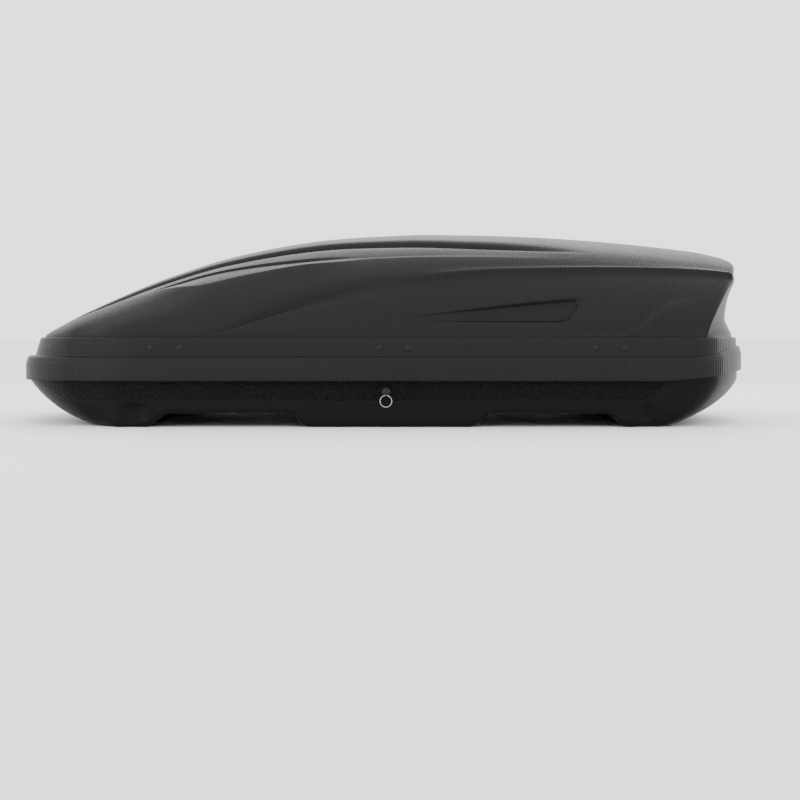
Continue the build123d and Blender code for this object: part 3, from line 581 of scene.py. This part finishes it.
def build_lid():
    spots = stations(0, RIM.where(CREASE_X), SIDE_COLUMNS)
    rear_spots = [spots[-1] + (RIM.total - spots[-1]) * share for share in SHARES]
    columns = SIDE_COLUMNS + REAR_COLUMNS
    bm = bmesh.new()
    ribbed = bm.verts.layers.float.new("ribbed")
    grid = bmesh.ops.create_grid(bm, x_segments=columns, y_segments=ROWS, size=1.0)["verts"]
    grid.sort(key=lambda vert: (round(vert.co.x, 5), round(vert.co.y, 5)))
    starts = [lid_point(spots[-1], share) for share in SHARES]
    reach = {}
    for place, vert in enumerate(grid):
        column, row = divmod(place, ROWS + 1)
        if column <= SIDE_COLUMNS:
            vert.co = lid_point(spots[column], SHARES[row])
            vert[ribbed] = 1.0
            distance = spots[column]
            edge = row == 0
        else:
            distance = rear_spots[row]
            foot = ledge_spot(distance)
            down = REAR_SHARES[column - SIDE_COLUMNS - 1]
            vert.co = rear_point(starts[row], Vector((foot.x, foot.y, LEDGE)), down, SHARES[row])
            vert[ribbed] = 0.0
            edge = column == columns or row == 0
        if row == ROWS:
            vert.co.y = 0.0
        if edge:
            reach[vert] = distance
    # rim and band: the free edge is drawn out level by level
    bmesh.ops.remove_doubles(bm, verts=[vert for vert in reach if vert.co.x > 0.70], dist=WELD)
    reach = {vert: distance for vert, distance in reach.items() if vert.is_valid}
    edges = [edge for edge in bm.edges if edge.is_boundary and all(vert in reach for vert in edge.verts)]
    for inset, level in LID_LEVELS:
        drawn = bmesh.ops.extrude_edge_only(bm, edges=edges)["geom"]
        edges = [item for item in drawn if isinstance(item, bmesh.types.BMEdge)]
        fresh = {}
        for vert in [item for item in drawn if isinstance(item, bmesh.types.BMVert)]:
            beside = [edge.other_vert(vert) for edge in vert.link_edges]
            fresh[vert] = reach[next(partner for partner in beside if partner in reach)]
            nose = nose_share(RIM.at(fresh[vert])[1])
            lean = clamp((level - 0.055) / 0.043) * 0.012 + 0.010 * ease(level, 0.0545, 0.0565)
            spot, _ = RIM.inset(fresh[vert], inset + lean * nose)
            vert.co = (spot.x, spot.y, RIM_BOTTOM + level + rim_lift(spot.x, level))
            vert[ribbed] = 1.0
        reach = fresh
    bmesh.ops.remove_doubles(bm, verts=bm.verts[:], dist=WELD)
    bmesh.ops.recalc_face_normals(bm, faces=bm.faces[:])
    bmesh.ops.mirror(bm, geom=bm.verts[:] + bm.edges[:] + bm.faces[:], merge_dist=SEAM_WELD, axis="Y")
    bmesh.ops.remove_doubles(bm, verts=bm.verts[:], dist=WELD)
    face_outward(bm, 1)
    weave_uv(bm)
    return bm


def weave_uv(bm):
    """Rib direction of the sheet: upright on the sides, slanting towards the nose."""
    layer = bm.loops.layers.uv.new("weave")
    for face in bm.faces:
        for loop in face.loops:
            x, y, z = loop.vert.co
            slant = 0.56 * (1 - ease(x, -0.50, 0.08))
            loop[layer].uv = (x - slant * z, z + 0.5 * abs(y))


def face_outward(bm, up):
    """Turn both halves of a shell outward; up is 1 for a shell closed at its top, -1 at its bottom."""
    bm.normal_update()
    for side in (-1, 1):
        half = [face for face in bm.faces if side * face.calc_center_median().y > 0]
        facing = sum(face.normal.z * face.calc_area() for face in half)
        if up * facing < 0:
            bmesh.ops.reverse_faces(bm, faces=half)


def thicken(piece, wall):
    solid = piece.modifiers.new("wall", "SOLIDIFY")
    solid.thickness = wall
    solid.offset = -1.0
    solid.use_even_offset = False


# ---------------------------------------------------------------- tray
FEET_LINE = ((-0.536, 0.0), (-0.526, 0.0035), (-0.495, 0.0262), (-0.485, ARCH), (-0.213, ARCH),
             (-0.203, 0.0262), (-0.181, 0.0040), (-0.167, 0.0), (0.192, 0.0), (0.204, 0.0035),
             (0.234, 0.0265), (0.244, ARCH), (0.498, ARCH), (0.509, 0.0265), (0.535, 0.0040), (0.549, 0.0))
WALL_LEVELS = (TRAY_TOP, 0.130, 0.115, 0.104, 0.097, 0.090, 0.083, 0.076, 0.069, 0.064, 0.061, 0.058, 0.055,
               0.050, 0.043, 0.036, 0.029, 0.022, 0.016, 0.0125, 0.0095, 0.0070, 0.0048, 0.0030, 0.0016,
               0.0007, 0.0002, 0.0)
BILGE = 0.103              # level where the ends start to slope in
EDGE_ROUND = 0.014
FLOOR_ROWS = 18
TRAY_COLUMNS = 330
TIP = 0.02                 # half width at which the floor becomes too narrow for rows
NOSE_FLAT, NOSE_TURN = -0.677, -0.600     # flat underside begins, and the ends' slope dies away
TAIL_FLAT, TAIL_TURN = 0.655, 0.560
GRAIN_END = ((0.060, 0.586), (0.064, 0.598), (0.083, 0.620), (0.099, 0.633), (0.110, 0.640))
CLAMPS = [[(low + high) / 2 for low, high in zip(*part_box(f"clamp_plate_{end}_left"))]
          for end in ("front", "rear")]
LEG = 0.042                # clamp leg from the clamp's middle
TROUGH = 0.0044            # half width of a trough
TROUGH_DEEP = 0.0088


def feet(x):
    """Level of the underside: feet on the ground, arches for the bars."""
    return max(0.0, min(ARCH, along(FEET_LINE, x)))


def floor_shares():
    """Rows across the flat floor, two of them on the edges of the clamp troughs."""
    half = HALF - TRAY_INSET - EDGE_ROUND
    edges = [1 - (abs(CLAMPS[0][1]) + side * TROUGH) / half for side in (1, -1)]
    rows = [k / FLOOR_ROWS for k in range(1, FLOOR_ROWS + 1)]
    clear = [row for row in rows if min(abs(row - edge) for edge in edges) > 0.015]
    return sorted(clear + edges)


def bilge(level, straight):
    """Share of the ends' slope at a level: part straight, part rounded like a hull."""
    fall = clamp(1 - level / BILGE)
    return straight * fall + (1 - straight) * (1 - sqrt(1 - fall * fall))


def build_tray():
    extra = [RIM.where(x + side * (LEG + edge))
             for x, _, _ in CLAMPS for side in (-1, 1) for edge in (-TROUGH, TROUGH)]
    spots = stations(0, RIM.total, TRAY_COLUMNS, extra)
    floors = floor_shares()
    walls = len(WALL_LEVELS) - 1
    rows = walls + len(floors)
    bm = bmesh.new()
    grained = bm.verts.layers.float.new("grained")
    grid = bmesh.ops.create_grid(bm, x_segments=len(spots) - 1, y_segments=rows, size=1.0)["verts"]
    grid.sort(key=lambda vert: (round(vert.co.x, 5), round(vert.co.y, 5)))
    for place, vert in enumerate(grid):
        column, row = divmod(place, rows + 1)
        edge, normal = RIM.inset(spots[column], TRAY_INSET)
        level = WALL_LEVELS[min(row, walls)]
        nose = clamp((NOSE_TURN - edge.x) / (NOSE_TURN - NOSE - TRAY_INSET))
        tail = clamp((edge.x - TAIL_TURN) / (TAIL - TRAY_INSET - TAIL_TURN))
        slope = bilge(level, 0.40 if nose else 0.24)
        shift = nose * (NOSE_FLAT - NOSE - TRAY_INSET) - tail * (TAIL - TRAY_INSET - TAIL_FLAT)
        x = edge.x + shift * slope
        base = feet(x)
        z = base + level * (1 - base / TRAY_TOP)
        y = edge.y * (1 - 0.10 * (nose + tail) * slope)
        side = clamp(1 - abs(normal.x) * 1.2)
        turn = clamp(1 - level / EDGE_ROUND)
        inward = EDGE_ROUND * (1 - sqrt(1 - turn * turn)) * side
        band = ease(z, 0.0575, 0.0605) * (1 - ease(x - along(GRAIN_END, z), -0.003, 0.003))
        band *= 1 - ease(-normal.x, 0.45, 0.80)
        hollow = 0.010 * exp(-((x + 0.560) / 0.026) ** 4) + 0.007 * exp(-((x - 0.588) / 0.012) ** 4)
        hollow *= ease(level, 0.006, 0.021) * (1 - ease(level, 0.046, 0.057))
        inward += (0.0018 * band + hollow) * side
        y = min(y + inward, 0.0)
        if row > walls:
            # close to the tips the floor is too narrow for rows, so they all close on the middle
            y *= 0 if abs(edge.y) < TIP else 1 - floors[row - walls - 1]
        vert.co = (x, y, z)
        vert[grained] = band if row <= walls else 0.0
        if row == rows:
            vert.co.y = 0.0
    cut_troughs(bm)
    bmesh.ops.remove_doubles(bm, verts=bm.verts[:], dist=WELD)
    bmesh.ops.mirror(bm, geom=bm.verts[:] + bm.edges[:] + bm.faces[:], merge_dist=SEAM_WELD, axis="Y")
    bmesh.ops.remove_doubles(bm, verts=bm.verts[:], dist=WELD)
    face_outward(bm, -1)
    # slivers that fold over themselves where the floor closes at the tips
    bm.normal_update()
    folded = [face for face in bm.faces if face.normal.z > 0.5 and face.calc_center_median().z < 0.0005]
    bmesh.ops.delete(bm, geom=folded, context="FACES")
    return bm


def cut_troughs(bm):
    """Troughs under the arches for the clamps' cross pieces, with a hole at each end for the legs."""
    for x, y, _ in CLAMPS:
        reach = LEG + TROUGH + 0.0005
        roof = [face for face in bm.faces
                if abs(face.calc_center_median().x - x) < reach
                and abs(abs(face.calc_center_median().y) - abs(y)) < TROUGH
                and face.calc_center_median().z < ARCH + 0.002]
        lifted = bmesh.ops.extrude_face_region(bm, geom=roof)["geom"]
        verts = [item for item in lifted if isinstance(item, bmesh.types.BMVert)]
        bmesh.ops.translate(bm, verts=verts, vec=(0, 0, TROUGH_DEEP))
        bmesh.ops.delete(bm, geom=roof, context="FACES")
        raised = [item for item in lifted if isinstance(item, bmesh.types.BMFace)]
        holes = [face for face in raised if abs(abs(face.calc_center_median().x - x) - LEG) < TROUGH]
        bmesh.ops.delete(bm, geom=holes, context="FACES")


# ---------------------------------------------------------------- camera, light and stage
def studio():
    camera = bpy.data.cameras.new("camera")
    camera.lens = 65.5
    camera.shift_y = -0.0825
    viewer = bpy.data.objects.new("camera", camera)
    viewer.location = (0.0363, -3.66, 0.209)
    viewer.rotation_euler = (pi / 2, 0, 0)
    bpy.context.scene.collection.objects.link(viewer)
    bpy.context.scene.camera = viewer

    def softbox(name, place, aim, size, power):
        light = bpy.data.lights.new(name, "AREA")
        light.shape = "RECTANGLE"
        light.size, light.size_y = size
        light.energy = power
        lamp = bpy.data.objects.new(name, light)
        lamp.location = place
        lamp.rotation_euler = (Vector(aim) - Vector(place)).to_track_quat("-Z", "Y").to_euler()
        bpy.context.scene.collection.objects.link(lamp)

    softbox("overhead", (0.2, 1.9, 1.9), (0.1, 0, 0.35), (3.4, 1.0), 34)
    softbox("left", (-2.6, -1.6, 1.0), (-0.4, 0, 0.2), (0.9, 1.4), 15)
    softbox("right_rear", (3.0, 0.2, 1.2), (0.8, 0, 0.3), (1.2, 1.6), 12)
    world = bpy.data.worlds.new("studio")
    world.use_nodes = True
    world.node_tree.nodes["Background"].inputs["Color"].default_value = (1, 1, 1, 1)
    world.node_tree.nodes["Background"].inputs["Strength"].default_value = 2.3
    bpy.context.scene.world = world

    bm = bmesh.new()
    bmesh.ops.create_grid(bm, x_segments=1, y_segments=1, size=40.0)
    mesh = bpy.data.meshes.new("studio_floor")
    bm.to_mesh(mesh)
    bm.free()
    floor = bpy.data.objects.new("studio_floor", mesh)
    material = shader("studio_floor", (0.90, 0.90, 0.90), 0.6)[0]
    mesh.materials.append(material)
    bpy.context.scene.collection.objects.link(floor)


studio()
lid = finished("lid_body", build_lid(), "lid", LID_SHEET)
thicken(lid, LID_WALL)
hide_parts("lid_shell")
tray = finished("tray_body", build_tray(), "tray", TRAY_SHEET)
thicken(tray, TRAY_WALL)
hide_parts("base_tray")

for node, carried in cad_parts.items():
    if node in ("lid_shell", "base_tray"):
        continue
    carried.data.materials.clear()
    carried.data.materials.append(FINISHES[finish_for(node)])
